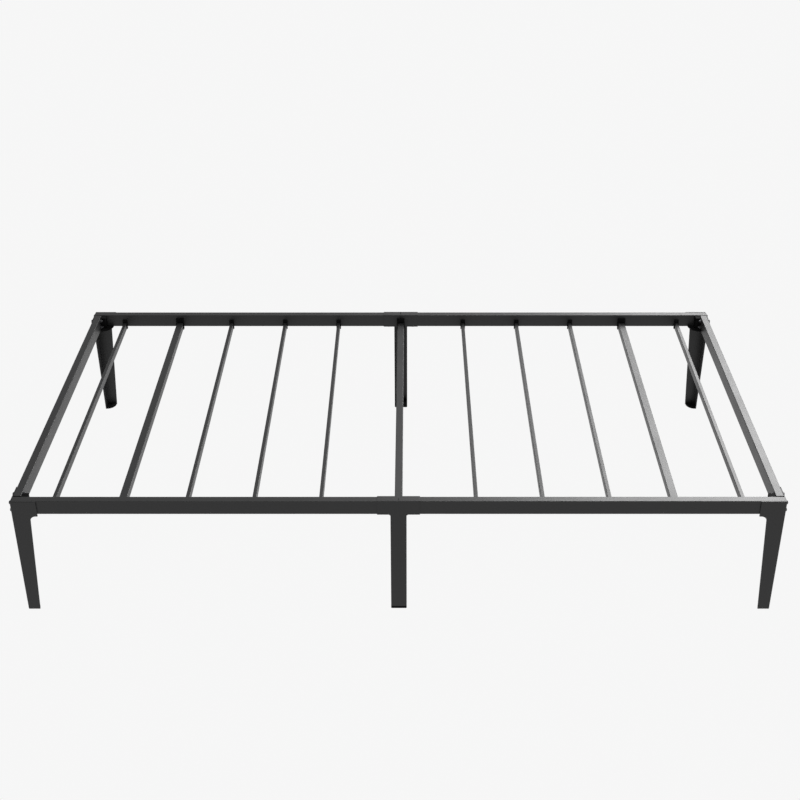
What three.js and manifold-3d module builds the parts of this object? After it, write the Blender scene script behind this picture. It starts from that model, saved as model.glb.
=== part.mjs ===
// A low platform bed frame of black powder-coated steel tube.
// The frame stands on +Z with its origin on the floor under its middle.
// X runs along the bed, Y across it, and every size is in millimetres.

import * as THREE from 'three';
import { mergeVertices } from 'three/addons/utils/BufferGeometryUtils.js';
import Module from 'manifold-3d';

const wasm = await Module();
wasm.setup();

// ---------------------------------------------------------------- driving sizes

const FRAME_LENGTH = 1945; // over the outer faces of the end rails
const FRAME_WIDTH = 1010; // over the outer faces of the side rails
const RAIL_TOP = 347; // floor to the top of the rails
const GAP = 0.3; // between pieces that touch

const RAIL = { width: 20, height: 40, wall: 1.2, radius: 1.5 };
const RAIL_JOINT_GAP = 2.5; // between the two halves of a side rail
const END_RAIL_GAP = 3; // between an end rail and a side rail
const INSERT_LENGTH = 160;

const LEG_SHEET = 2.5;
const LEG_HEAD_WIDTH = 65;
const LEG_HEAD_HEIGHT = 45.5;
const LEG_STEM_TOP = 45.5; // stem width just under the head
const LEG_STEM_FOOT = 31; // stem width at the floor
const LEG_FILLET = 14;
const LEG_BEND = 3; // outer radius of the bent corner
const LEG_FLOOR_CLEARANCE = 1;

const HEADBOARD_HOLE = { radius: 4.5, fromFace: 22, drops: [97, 160, 223] };
const BOLT_DROPS = [9, 31]; // the upper and lower bolts of a corner, below the rail top
const LEG_BOLT = { holeRadius: 3.5, endRail: 46, sideRail: 11 }; // from the leg's side face

const MID_SHEET = 1.2;
const MID_STEM_WIDTH = 41;
const MID_STEM_DEPTH = 22;
const MID_STEM_BEND = 2.5;
const MID_HEAD_WIDTH = 108;
const MID_FILLET = 3;
const MID_SLIT = 2.5;
const MID_BOLT = { holeRadius: 3.5, offset: 38 };
const MID_FLOOR_CLEARANCE = 2; // the mid legs touch down only under load

const SLAT_TOP_DROP = 26; // rail top to slat top
const SLAT_HEIGHT = 20;
const SLAT_WALL = 1;
const SLAT_RADIUS = 1.2;
const WIDE = 20;
const NARROW = 10;
const SLATS = [
  { x: 198, width: NARROW },
  { x: 368.5, width: NARROW },
  { x: 539, width: NARROW },
  { x: 703.5, width: WIDE },
  { x: 879, width: NARROW },
];

const HOLDER = {
  back: 5, // thickness against the rail
  wall: 2.2, // overhang and cheek on each side of the bar
  plug: 25, // length inside the bar
};
const WIDE_HOLDER = { rise: 15, cheek: 6 }; // back plate above the bar, cheek along it
const NARROW_HOLDER = { rise: 9, cheek: 2 };
const PEG = { width: 5, height: 12, reach: 5.5, drop: 24 };

const CONNECTOR = {
  post: { x: 16, y: 17.5 }, // the block in the inside corner, clear of the nuts
  topDrop: 2,
  plate: 3, // thickness of the gusset and of the neck between the rails
  gusset: 36, // radius of the quarter-round plate at the bottom
  tongue: 60, // length inside the end rail
};

const PAD_HEIGHT = 7;
const PAD_RADIUS = 27;
const PAD_CHAMFER = 2;
const PAD_PLUG = 14;
const PAD_BEND_RELIEF = 1.5; // clears the inside of the leg's bend

const ROUND_STEPS = 3;
const HOLE_STEPS = 16;
const OVERCUT = 1; // how far a cutting tool passes the face it cuts
const SMALLEST_RADIUS = 0.4;

const SIDE_FACE = FRAME_WIDTH / 2;
const END_FACE = FRAME_LENGTH / 2;
const INNER_FACE = SIDE_FACE - RAIL.width;
const END_INNER_FACE = END_FACE - RAIL.width;
const LEG_PROUD = LEG_SHEET + GAP;
const MID_PROUD = MID_SHEET + GAP;
const RAIL_MIDDLE = RAIL_TOP - RAIL.height / 2;
const RAIL_BOTTOM = RAIL_TOP - RAIL.height;
const PEG_MIDDLE = RAIL_TOP - PEG.drop;

// -------------------------------------------------------------------- materials

const steel = () => new THREE.MeshStandardMaterial({ color: 0x2c2c2d, roughness: 0.42, metalness: 0.35 });
const plastic = () => new THREE.MeshStandardMaterial({ color: 0x101011, roughness: 0.6, metalness: 0 });

// ------------------------------------------------------------- solids and cutting

const ALONG_X = new THREE.Matrix4().makeBasis(
  new THREE.Vector3(0, 1, 0),
  new THREE.Vector3(0, 0, 1),
  new THREE.Vector3(1, 0, 0),
);
const ALONG_Y = new THREE.Matrix4().makeBasis(
  new THREE.Vector3(1, 0, 0),
  new THREE.Vector3(0, 0, 1),
  new THREE.Vector3(0, -1, 0),
);

function toSolid(geometry) {
  const bare = geometry.clone();
  bare.deleteAttribute('normal');
  bare.deleteAttribute('uv');
  const merged = mergeVertices(bare, 1e-4);
  return new wasm.Manifold(new wasm.Mesh({
    numProp: 3,
    vertProperties: merged.attributes.position.array,
    triVerts: new Uint32Array(merged.index.array),
  }));
}

function toGeometry(solid) {
  const { vertProperties, triVerts } = solid.getMesh();
  const geometry = new THREE.BufferGeometry();
  geometry.setAttribute('position', new THREE.BufferAttribute(vertProperties, 3));
  geometry.setIndex(new THREE.BufferAttribute(triVerts, 1));
  return geometry;
}

function join(...geometries) {
  return toGeometry(geometries.map(toSolid).reduce((whole, piece) => whole.add(piece)));
}

function cut(base, ...tools) {
  return toGeometry(tools.map(toSolid).reduce((whole, tool) => whole.subtract(tool), toSolid(base)));
}

function overlap(...geometries) {
  return toGeometry(geometries.map(toSolid).reduce((whole, piece) => whole.intersect(piece)));
}

// A block between two corners.
function block(low, high) {
  const size = high.map((value, axis) => value - low[axis]);
  const middle = high.map((value, axis) => (value + low[axis]) / 2);
  return new THREE.BoxGeometry(...size).translate(...middle);
}

// A round bar between two points of one axis, for drilling.
function drill(radius, axis, from, to, centre) {
  const geometry = new THREE.CylinderGeometry(radius, radius, to - from, HOLE_STEPS);
  const middle = [...centre];
  middle[axis] = (from + to) / 2;
  if (axis === 0) geometry.rotateZ(Math.PI / 2);
  if (axis === 2) geometry.rotateX(Math.PI / 2);
  return geometry.translate(...middle);
}

function extrude(shape, depth, steps = ROUND_STEPS) {
  return new THREE.ExtrudeGeometry(shape, { depth, bevelEnabled: false, curveSegments: steps });
}

// The same piece on the other side of the frame.
function mirror(geometry, axis) {
  const scale = [1, 1, 1];
  scale[axis] = -1;
  const turned = geometry.clone().scale(...scale);
  const order = turned.index.array;
  for (let i = 0; i < order.length; i += 3) {
    [order[i], order[i + 1]] = [order[i + 1], order[i]];
  }
  return turned;
}

function roundedRectangle(width, height, radius) {
  const x = width / 2;
  const y = height / 2;
  const shape = new THREE.Shape();
  shape.moveTo(-x + radius, -y);
  shape.lineTo(x - radius, -y);
  shape.absarc(x - radius, -y + radius, radius, -Math.PI / 2, 0);
  shape.lineTo(x, y - radius);
  shape.absarc(x - radius, y - radius, radius, 0, Math.PI / 2);
  shape.lineTo(-x + radius, y);
  shape.absarc(-x + radius, y - radius, radius, Math.PI / 2, Math.PI);
  shape.lineTo(-x, -y + radius);
  shape.absarc(-x + radius, -y + radius, radius, Math.PI, 1.5 * Math.PI);
  return shape;
}

// A rectangular tube, open at both ends, centred on the origin.
function tube({ width, height, wall, radius }, length, direction) {
  const shape = roundedRectangle(width, height, radius);
  const boreRadius = Math.max(radius - wall, SMALLEST_RADIUS);
  const bore = roundedRectangle(width - 2 * wall, height - 2 * wall, boreRadius);
  shape.holes.push(bore);
  return extrude(shape, length).translate(0, 0, -length / 2).applyMatrix4(direction);
}

function quarterDisc(radius) {
  const shape = new THREE.Shape();
  shape.moveTo(0, 0);
  shape.lineTo(radius, 0);
  shape.absarc(0, 0, radius, 0, Math.PI / 2);
  return shape;
}

// ------------------------------------------------------------------------- rails

// Half a side rail on the -X, -Y side. Slots in its inner wall take the holders' pegs.
function sideRailHalf() {
  const inner = -RAIL_JOINT_GAP / 2;
  const length = END_FACE + inner;
  const whole = tube(RAIL, length, ALONG_X)
    .translate(inner - length / 2, -SIDE_FACE + RAIL.width / 2, RAIL_MIDDLE);
  const slots = SLATS.map(({ x }) => block(
    [-x - PEG.width / 2 - GAP, -INNER_FACE - 2 * RAIL.wall, PEG_MIDDLE - PEG.height / 2 - GAP],
    [-x + PEG.width / 2 + GAP, -INNER_FACE + OVERCUT, PEG_MIDDLE + PEG.height / 2 + GAP],
  ));
  const midHole = drill(MID_BOLT.holeRadius, 2, RAIL_BOTTOM - OVERCUT, RAIL_BOTTOM + 2 * RAIL.wall,
    [-MID_BOLT.offset, -SIDE_FACE + RAIL.width / 2, 0]);
  return cut(whole, ...slots, midHole);
}

// The smaller tube that joins the two halves of the rail on the -Y side.
function jointInsert() {
  const section = {
    width: RAIL.width - 2 * RAIL.wall - 2 * GAP,
    height: RAIL.height - 2 * RAIL.wall - 2 * GAP,
    wall: RAIL.wall,
    radius: RAIL.radius,
  };
  const low = RAIL_MIDDLE - section.height / 2;
  const whole = tube(section, INSERT_LENGTH, ALONG_X)
    .translate(0, -SIDE_FACE + RAIL.width / 2, RAIL_MIDDLE);
  const boltHoles = [-1, 1].map((side) => drill(MID_BOLT.holeRadius, 2, low - OVERCUT, low + 2 * RAIL.wall,
    [side * MID_BOLT.offset, -SIDE_FACE + RAIL.width / 2, 0]));
  return cut(whole, ...boltHoles);
}

// The end rail on the -X side, between the side rails, with a bolt hole at each end.
function endRail() {
  const length = 2 * (INNER_FACE - END_RAIL_GAP);
  const whole = tube(RAIL, length, ALONG_Y)
    .translate(-END_FACE + RAIL.width / 2, 0, RAIL_MIDDLE);
  const boltY = SIDE_FACE + LEG_PROUD - LEG_BOLT.endRail;
  const boltHoles = [-boltY, boltY].flatMap((y) => BOLT_DROPS.map((drop) => drill(
    LEG_BOLT.holeRadius, 0, -END_FACE - OVERCUT, -END_INNER_FACE + OVERCUT, [0, y, RAIL_TOP - drop])));
  return cut(whole, ...boltHoles);
}

// ------------------------------------------------------------------- corner legs

// The flat outline of one wing of the leg: a wide head over a tapered stem.
function wingOutline() {
  const headFoot = RAIL_TOP - LEG_HEAD_HEIGHT;
  const shape = new THREE.Shape();
  shape.moveTo(0, LEG_FLOOR_CLEARANCE);
  shape.lineTo(LEG_STEM_FOOT, LEG_FLOOR_CLEARANCE);
  shape.lineTo(LEG_STEM_TOP, headFoot - LEG_FILLET);
  shape.absarc(LEG_STEM_TOP + LEG_FILLET, headFoot - LEG_FILLET, LEG_FILLET, Math.PI, Math.PI / 2, true);
  shape.lineTo(LEG_HEAD_WIDTH, headFoot);
  shape.lineTo(LEG_HEAD_WIDTH, RAIL_TOP);
  shape.lineTo(0, RAIL_TOP);
  return shape;
}

// The bent sheet seen from above, its outer corner at the origin.
function legSection() {
  const reach = LEG_HEAD_WIDTH;
  const innerBend = LEG_BEND - LEG_SHEET;
  const shape = new THREE.Shape();
  shape.moveTo(LEG_BEND, 0);
  shape.lineTo(reach, 0);
  shape.lineTo(reach, LEG_SHEET);
  shape.lineTo(LEG_BEND, LEG_SHEET);
  shape.absarc(LEG_BEND, LEG_BEND, innerBend, 1.5 * Math.PI, Math.PI, true);
  shape.lineTo(LEG_SHEET, reach);
  shape.lineTo(0, reach);
  shape.lineTo(0, LEG_BEND);
  shape.absarc(LEG_BEND, LEG_BEND, LEG_BEND, Math.PI, 1.5 * Math.PI);
  return shape;
}

// The leg of the -X, -Y corner.
function cornerLeg() {
  const reach = LEG_HEAD_WIDTH;
  const bent = extrude(legSection(), RAIL_TOP);
  const wing = extrude(wingOutline(), reach, 2 * ROUND_STEPS);
  const sideWing = wing.clone().applyMatrix4(ALONG_Y).translate(0, reach, 0);
  const endWing = wing.clone().applyMatrix4(ALONG_X);
  const headboardHoles = HEADBOARD_HOLE.drops.map((drop) => drill(
    HEADBOARD_HOLE.radius, 0, -OVERCUT, LEG_SHEET + OVERCUT, [0, HEADBOARD_HOLE.fromFace, RAIL_TOP - drop]));
  const boltHoles = [LEG_BOLT.endRail, LEG_BOLT.sideRail].flatMap((y) => BOLT_DROPS.map((drop) => drill(
    LEG_BOLT.holeRadius, 0, -OVERCUT, LEG_SHEET + OVERCUT, [0, y, RAIL_TOP - drop])));
  return cut(overlap(bent, sideWing, endWing), ...headboardHoles, ...boltHoles)
    .translate(-END_FACE - LEG_PROUD, -SIDE_FACE - LEG_PROUD, 0);
}

// The pad inside the foot of that leg, with a thin sole under the sheet.
function cornerPad() {
  const corner = LEG_SHEET + GAP;
  const plug = extrude(quarterDisc(PAD_RADIUS), PAD_HEIGHT, 3 * ROUND_STEPS).translate(corner, corner, 0);
  const sole = extrude(quarterDisc(PAD_RADIUS), LEG_FLOOR_CLEARANCE - GAP, 3 * ROUND_STEPS)
    .translate(LEG_SHEET / 2, LEG_SHEET / 2, 0);
  const bendRelief = block([corner - OVERCUT, corner - OVERCUT, LEG_FLOOR_CLEARANCE - GAP],
    [corner + PAD_BEND_RELIEF, corner + PAD_BEND_RELIEF, PAD_HEIGHT + OVERCUT]);
  return join(cut(plug, bendRelief), sole)
    .translate(-END_FACE - LEG_PROUD, -SIDE_FACE - LEG_PROUD, 0);
}

// ---------------------------------------------------------------------- mid legs

// The channel stem seen from above, its outer face on y = 0.
function midSection() {
  const x = MID_STEM_WIDTH / 2;
  const innerBend = MID_STEM_BEND - MID_SHEET;
  const shape = new THREE.Shape();
  shape.moveTo(-x + MID_STEM_BEND, 0);
  shape.lineTo(x - MID_STEM_BEND, 0);
  shape.absarc(x - MID_STEM_BEND, MID_STEM_BEND, MID_STEM_BEND, -Math.PI / 2, 0);
  shape.lineTo(x, MID_STEM_DEPTH);
  shape.lineTo(x - MID_SHEET, MID_STEM_DEPTH);
  shape.lineTo(x - MID_SHEET, MID_STEM_BEND);
  shape.absarc(x - MID_STEM_BEND, MID_STEM_BEND, innerBend, 0, -Math.PI / 2, true);
  shape.lineTo(-x + MID_STEM_BEND, MID_SHEET);
  shape.absarc(-x + MID_STEM_BEND, MID_STEM_BEND, innerBend, -Math.PI / 2, -Math.PI, true);
  shape.lineTo(-x + MID_SHEET, MID_STEM_DEPTH);
  shape.lineTo(-x, MID_STEM_DEPTH);
  shape.lineTo(-x, MID_STEM_BEND);
  shape.absarc(-x + MID_STEM_BEND, MID_STEM_BEND, MID_STEM_BEND, Math.PI, 1.5 * Math.PI);
  return shape;
}

// The web that spreads from the stem into the head with a small fillet each side.
function midWeb(headFoot) {
  const x = MID_STEM_WIDTH / 2 - MID_STEM_BEND;
  const edge = MID_STEM_WIDTH / 2;
  const shape = new THREE.Shape();
  shape.moveTo(-x, headFoot - 2 * MID_FILLET);
  shape.lineTo(x, headFoot - 2 * MID_FILLET);
  shape.lineTo(edge, headFoot - MID_FILLET);
  shape.absarc(edge + MID_FILLET, headFoot - MID_FILLET, MID_FILLET, Math.PI, Math.PI / 2, true);
  shape.lineTo(edge + MID_FILLET, headFoot + MID_SHEET / 2);
  shape.lineTo(-edge - MID_FILLET, headFoot + MID_SHEET / 2);
  shape.lineTo(-edge - MID_FILLET, headFoot);
  shape.absarc(-edge - MID_FILLET, headFoot - MID_FILLET, MID_FILLET, Math.PI / 2, 0, true);
  return shape;
}

// The mid leg of the -Y side: a channel stem under a sleeve that holds the rail joint.
// The sleeve is open along a slit in its top and a seam in its inner wall.
function midLeg() {
  const sleeve = {
    width: RAIL.width + 2 * MID_PROUD,
    height: RAIL.height + 2 * MID_PROUD,
    wall: MID_SHEET,
    radius: RAIL.radius + MID_SHEET / 2,
  };
  const headFoot = RAIL_BOTTOM - MID_PROUD;
  const head = tube(sleeve, MID_HEAD_WIDTH, ALONG_X)
    .translate(0, sleeve.width / 2, RAIL_MIDDLE);
  const stemLow = MID_FLOOR_CLEARANCE + PAD_HEIGHT + GAP;
  const stem = extrude(midSection(), headFoot + MID_SHEET / 2 - stemLow).translate(0, 0, stemLow);
  const web = extrude(midWeb(headFoot), MID_SHEET).applyMatrix4(ALONG_Y).translate(0, MID_SHEET, 0);
  const slit = block([-MID_SLIT / 2, 2 * MID_SHEET, RAIL_TOP - OVERCUT],
    [MID_SLIT / 2, sleeve.width + OVERCUT, RAIL_TOP + 2 * MID_PROUD]);
  const seam = block([-MID_SLIT / 2, sleeve.width - 2 * MID_SHEET, RAIL_BOTTOM],
    [MID_SLIT / 2, sleeve.width + OVERCUT, RAIL_TOP]);
  const boltHoles = [-1, 1].map((side) => drill(
    MID_BOLT.holeRadius, 2, headFoot - OVERCUT, headFoot + 2 * MID_SHEET,
    [side * MID_BOLT.offset, sleeve.width / 2, 0]));
  return cut(join(head, stem, web), slit, seam, ...boltHoles)
    .translate(0, -SIDE_FACE - MID_PROUD, 0);
}

// The cap under the mid leg's stem: a chamfered sole and a plug inside the channel.
function midPad() {
  const x = MID_STEM_WIDTH / 2;
  const sole = new THREE.Shape();
  sole.moveTo(-x + PAD_CHAMFER, 0);
  sole.lineTo(x - PAD_CHAMFER, 0);
  sole.lineTo(x, PAD_CHAMFER);
  sole.lineTo(x, PAD_HEIGHT);
  sole.lineTo(-x, PAD_HEIGHT);
  sole.lineTo(-x, PAD_CHAMFER);
  const foot = extrude(sole, MID_STEM_DEPTH).applyMatrix4(ALONG_Y).translate(0, MID_STEM_DEPTH, 0);
  const inset = MID_STEM_BEND + GAP;
  const plug = block([-x + inset, inset, PAD_HEIGHT - OVERCUT],
    [x - inset, MID_STEM_DEPTH, PAD_HEIGHT + PAD_PLUG]);
  return join(foot, plug).translate(0, -SIDE_FACE - MID_PROUD, MID_FLOOR_CLEARANCE);
}

// ------------------------------------------------------------------ corner joints

// The black connector of the -X, -Y corner: a post in the inside corner over a
// quarter-round gusset, and a tongue that reaches into the end rail.
function cornerConnector() {
  const sideFace = -INNER_FACE + GAP;
  const endFace = -END_INNER_FACE + GAP;
  const low = RAIL_BOTTOM;
  const inset = RAIL.wall + GAP;
  const { post, plate, topDrop } = CONNECTOR;
  const corner = block([endFace, sideFace, low],
    [endFace + post.x, sideFace + post.y, RAIL_TOP - topDrop]);
  const gusset = extrude(quarterDisc(CONNECTOR.gusset), plate, 3 * ROUND_STEPS)
    .translate(endFace, sideFace, low);
  const neck = block([-END_FACE + inset, sideFace, low + inset],
    [endFace + plate, -INNER_FACE + END_RAIL_GAP - GAP, RAIL_TOP - inset - topDrop]);
  const tongue = block([-END_FACE + inset, sideFace, low + inset],
    [-END_INNER_FACE - inset, sideFace + CONNECTOR.tongue, RAIL_TOP - inset - topDrop]);
  const boltY = -SIDE_FACE - LEG_PROUD + LEG_BOLT.endRail;
  const boltHoles = BOLT_DROPS.map((drop) => drill(
    LEG_BOLT.holeRadius, 0, -END_FACE, -END_INNER_FACE, [0, boltY, RAIL_TOP - drop]));
  return cut(join(corner, gusset, neck, tongue), ...boltHoles);
}

// ------------------------------------------------------------------------- slats

function slatEnd(isCentre) {
  const wallFace = isCentre ? INNER_FACE - MID_PROUD : INNER_FACE;
  return wallFace - GAP - HOLDER.back - GAP;
}

function slat(width, isCentre = false) {
  const section = { width, height: SLAT_HEIGHT, wall: SLAT_WALL, radius: SLAT_RADIUS };
  return tube(section, 2 * slatEnd(isCentre), ALONG_Y)
    .translate(0, 0, RAIL_TOP - SLAT_TOP_DROP - SLAT_HEIGHT / 2);
}

// The -Y holder of a bar: a back plate on the rail, two cheeks beside the bar,
// a plug inside the bar and a peg in the rail.
function slatHolder(width, isCentre = false) {
  const end = -slatEnd(isCentre);
  const barTop = RAIL_TOP - SLAT_TOP_DROP;
  const barLow = barTop - SLAT_HEIGHT;
  const { rise, cheek } = width === WIDE ? WIDE_HOLDER : NARROW_HOLDER;
  const half = width / 2 + HOLDER.wall;
  const plugHalf = width / 2 - SLAT_WALL - GAP;
  const plugInset = SLAT_WALL + GAP;
  const faceY = end - GAP;
  const backY = faceY - HOLDER.back;
  const back = block([-half, backY, barLow], [half, faceY, barTop + rise]);
  const cheeks = [-1, 1].map((side) => block(
    [Math.min(side * half, side * (width / 2 + GAP)), faceY - OVERCUT, barLow],
    [Math.max(side * half, side * (width / 2 + GAP)), end + cheek, barTop]));
  const plug = block([-plugHalf, faceY - OVERCUT, barLow + plugInset],
    [plugHalf, end + HOLDER.plug, barTop - plugInset]);
  const peg = block([-PEG.width / 2, backY - PEG.reach, PEG_MIDDLE - PEG.height / 2],
    [PEG.width / 2, backY + OVERCUT, PEG_MIDDLE + PEG.height / 2]);
  return join(back, ...cheeks, plug, ...(isCentre ? [] : [peg]));
}

// ---------------------------------------------------------------------- assembly

const bedFrame = new THREE.Group();

function add(name, geometry, material, x = 0) {
  geometry.computeVertexNormals();
  const mesh = new THREE.Mesh(geometry, material);
  mesh.name = name;
  mesh.position.x = x;
  bedFrame.add(mesh);
}

// A piece of the -Y side and its mirror image.
function addFrontAndRear(name, geometry, material, x = 0) {
  add(`${name}_front`, geometry, material(), x);
  add(`${name}_rear`, mirror(geometry, 1), material(), x);
}

// A piece of the -X, -Y quarter and its three mirror images.
function addCorners(name, geometry, material) {
  addFrontAndRear(`${name}_left`, geometry, material);
  addFrontAndRear(`${name}_right`, mirror(geometry, 0), material);
}

addCorners('corner_leg', cornerLeg(), steel);
addCorners('corner_foot_pad', cornerPad(), plastic);
addCorners('side_rail', sideRailHalf(), steel);
addCorners('corner_connector', cornerConnector(), plastic);

addFrontAndRear('mid_leg', midLeg(), steel);
addFrontAndRear('mid_foot_pad', midPad(), plastic);
addFrontAndRear('rail_joint_insert', jointInsert(), steel);

add('end_rail_left', endRail(), steel());
add('end_rail_right', mirror(endRail(), 0), steel());

add('centre_bar', toGeometry(toSolid(slat(WIDE, true))), steel());
addFrontAndRear('centre_bar_holder', slatHolder(WIDE, true), plastic);

SLATS.forEach(({ x, width }, index) => {
  [['left', -x], ['right', x]].forEach(([side, place]) => {
    const name = `slat_${side}_${index + 1}`;
    add(name, toGeometry(toSolid(slat(width))), steel(), place);
    addFrontAndRear(`${name}_holder`, slatHolder(width), plastic, place);
  });
});

export default bedFrame;
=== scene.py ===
# %% [markdown]
# # A platform bed frame, dressed for its portrait
#
# The bed frame is a knock-down product: pressed steel legs, square-edged steel tube,
# black plastic holders for the cross bars and a handful of bolts. The CAD model fixes
# every size and place. This lesson gives each piece its finished shape and surface:
# rolled sheet edges, drawn tube corners, moulded edges, and a powder coat.
#
# A finished piece rides on the CAD body, hides the CAD nodes that it stands for, and keeps
# its place in its own mesh, so its object stays at the origin.

# %% Load the fixed frame
import math

import bmesh
import bpy
from mathutils import Matrix, Vector


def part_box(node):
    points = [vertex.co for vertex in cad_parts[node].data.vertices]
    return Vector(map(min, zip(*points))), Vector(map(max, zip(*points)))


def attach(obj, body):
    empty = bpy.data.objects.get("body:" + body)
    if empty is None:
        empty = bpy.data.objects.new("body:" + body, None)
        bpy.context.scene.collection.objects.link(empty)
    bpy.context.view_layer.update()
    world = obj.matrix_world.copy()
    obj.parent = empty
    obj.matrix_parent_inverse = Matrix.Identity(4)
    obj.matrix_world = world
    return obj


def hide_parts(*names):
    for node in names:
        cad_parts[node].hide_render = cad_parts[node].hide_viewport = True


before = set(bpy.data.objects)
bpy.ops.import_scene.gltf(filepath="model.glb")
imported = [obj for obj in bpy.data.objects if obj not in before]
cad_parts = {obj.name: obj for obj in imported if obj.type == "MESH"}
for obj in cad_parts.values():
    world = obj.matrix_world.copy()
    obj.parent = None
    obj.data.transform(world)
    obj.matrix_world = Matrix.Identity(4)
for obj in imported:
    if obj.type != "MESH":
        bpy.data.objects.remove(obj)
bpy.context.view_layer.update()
BODY = "root"
MM = 0.001
GAP = 0.3 * MM  # left between pieces that touch
SIDES = ("left", "right")
ENDS = ("front", "rear")

# %% [markdown]
# The main levels and faces come from the boxes of the CAD nodes. What a box can't tell,
# such as a wall, a bend or the place of a hole, is said just before it is used.

# %% Read the frame's own measures
rail_low, rail_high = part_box("side_rail_left_front")
RAIL_TOP = rail_high.z
RAIL_BOTTOM = rail_low.z
RAIL_SIZE = Vector((rail_high.y - rail_low.y, rail_high.z - rail_low.z))
SIDE_INNER = -rail_high.y  # distance from the middle to a side rail's inner face
END_INNER = -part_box("end_rail_left")[1].x
leg_low, leg_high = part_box("corner_leg_left_front")
LEG_CORNER = Vector((-leg_low.x, -leg_low.y))
LEG_FOOT = leg_low.z
print(f"rail top {RAIL_TOP:.4f} m, rail section {RAIL_SIZE.x:.4f} x {RAIL_SIZE.y:.4f} m")

# %% [markdown]
# ## Shader maths as plain expressions
#
# A finish is a recipe: some noise, a little arithmetic, and a few sockets. A small
# wrapper round a socket lets the arithmetic be written as Python, and adds the Math
# nodes behind the scenes. Any other node comes from one function, `add_node`, which
# serves the shader trees and the geometry trees alike.

# %% One function for nodes, one class for arithmetic
def add_node(tree, kind, settings=None, values=None):
    """Adds a node, applies its settings, then fills or links its inputs."""
    node = tree.nodes.new(kind)
    for name, value in (settings or {}).items():
        setattr(node, name, value)
    for key, value in (values or {}).items():
        source = value.socket if isinstance(value, Wire) else value
        if isinstance(source, bpy.types.NodeSocket):
            tree.links.new(source, node.inputs[key])
        else:
            node.inputs[key].default_value = source
    return node


class Wire:
    """A number that varies, flowing out of a socket."""

    def __init__(self, socket):
        self.socket = socket

    def maths(self, operation, first, second):
        tree = self.socket.id_data
        node = add_node(tree, "ShaderNodeMath", {"operation": operation}, {0: first, 1: second})
        return Wire(node.outputs[0])

    def __add__(self, other):
        return self.maths("ADD", self, other)

    def __sub__(self, other):
        return self.maths("SUBTRACT", self, other)

    def __rsub__(self, other):
        return self.maths("SUBTRACT", other, self)

    def __mul__(self, other):
        return self.maths("MULTIPLY", self, other)

    __radd__ = __add__
    __rmul__ = __mul__


# %% [markdown]
# ## The finishes
#
# Three finishes cover the bed frame. **Powder coat** is a dry paint baked onto the
# steel: near black, semi-gloss, with a faint orange peel of about two millimetres and
# a finer grit on top. **Moulded plastic** takes the fine spark-eroded grain of its
# mould. **Black oxide** on the bolts is thin enough for the metal to shine through.
#
# All the patterns read Object coordinates, which are metres here, so a noise scale of
# 500 gives features of about two millimetres on every piece alike.

# %% A material with its shader, its coordinates and its noise
class Finish:
    def __init__(self, name, **fixed):
        self.material = bpy.data.materials.new(name)
        self.material.use_nodes = True
        self.tree = self.material.node_tree
        self.tree.nodes.clear()
        self.shader = add_node(self.tree, "ShaderNodeBsdfPrincipled", values=fixed)
        add_node(self.tree, "ShaderNodeOutputMaterial", values={"Surface": self.shader.outputs[0]})
        self.place = add_node(self.tree, "ShaderNodeTexCoord").outputs["Object"]

    def noise(self, scale, detail=2.0, roughness=0.5):
        node = add_node(self.tree, "ShaderNodeTexNoise", values={
            "Vector": self.place, "Scale": scale, "Detail": detail, "Roughness": roughness})
        return Wire(node.outputs[0])

    def blend(self, mask, dark, light):
        node = add_node(self.tree, "ShaderNodeMix", {"data_type": "RGBA"}, {
            "Factor": mask, "A": (*dark, 1.0), "B": (*light, 1.0)})
        return node.outputs["Result"]

    def set(self, name, value):
        source = value.socket if isinstance(value, Wire) else value
        self.tree.links.new(source, self.shader.inputs[name])

    def bump(self, height, distance, strength):
        node = add_node(self.tree, "ShaderNodeBump", values={
            "Height": height, "Distance": distance, "Strength": strength})
        self.set("Normal", node.outputs[0])


# %% [markdown]
# The powder coat is mixed from three noises: a broad drift in the film's thickness, the
# orange peel, and the grit. A painted picture could do the same on one piece, but noise
# on Object coordinates has no seams and suits all the pieces at one scale. The shader is
# a plain dielectric, since the paint hides the steel completely.

# %% Powder coat
def make_powder_coat():
    finish = Finish("powder_coat", **{"Specular IOR Level": 0.32})
    peel = finish.noise(420.0, detail=1.0)
    grit = finish.noise(2600.0, detail=2.0)
    drift = finish.noise(9.0, detail=3.0)
    finish.set("Base Color", finish.blend(0.5 * drift + 0.5 * peel, (0.009, 0.009, 0.0093),
                                          (0.016, 0.016, 0.0163)))
    finish.set("Roughness", 0.30 + 0.12 * drift + 0.10 * grit)
    finish.bump(0.7 * peel + 0.3 * grit, distance=0.12 * MM, strength=0.35)
    return finish.material


# %% [markdown]
# The holders, corner blocks and foot pads are moulded in black plastic. It is duller
# than the coat, so its roughness is higher and its grain finer and deeper.

# %% Moulded plastic
def make_plastic():
    finish = Finish("moulded_plastic", **{"Specular IOR Level": 0.04})
    grain = finish.noise(1900.0, detail=3.0)
    flow = finish.noise(35.0, detail=2.0)
    finish.set("Base Color", finish.blend(flow, (0.002, 0.002, 0.0021), (0.005, 0.005, 0.0052)))
    finish.set("Roughness", 0.58 + 0.18 * grain)
    finish.bump(grain, distance=0.08 * MM, strength=0.4)
    return finish.material


# %% [markdown]
# Black oxide is a skin a few thousandths of a millimetre thick. The metal still decides
# the reflection, so Metallic is high and the base colour does the darkening.

# %% Black oxide
def make_black_oxide():
    finish = Finish("black_oxide", **{"Metallic": 0.85})
    scratches = finish.noise(1200.0, detail=4.0, roughness=0.7)
    patches = finish.noise(260.0, detail=2.0)
    finish.set("Base Color", finish.blend(patches, (0.028, 0.028, 0.030), (0.07, 0.07, 0.073)))
    finish.set("Roughness", 0.24 + 0.22 * scratches)
    finish.bump(scratches, distance=0.05 * MM, strength=0.3)
    return finish.material


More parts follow.
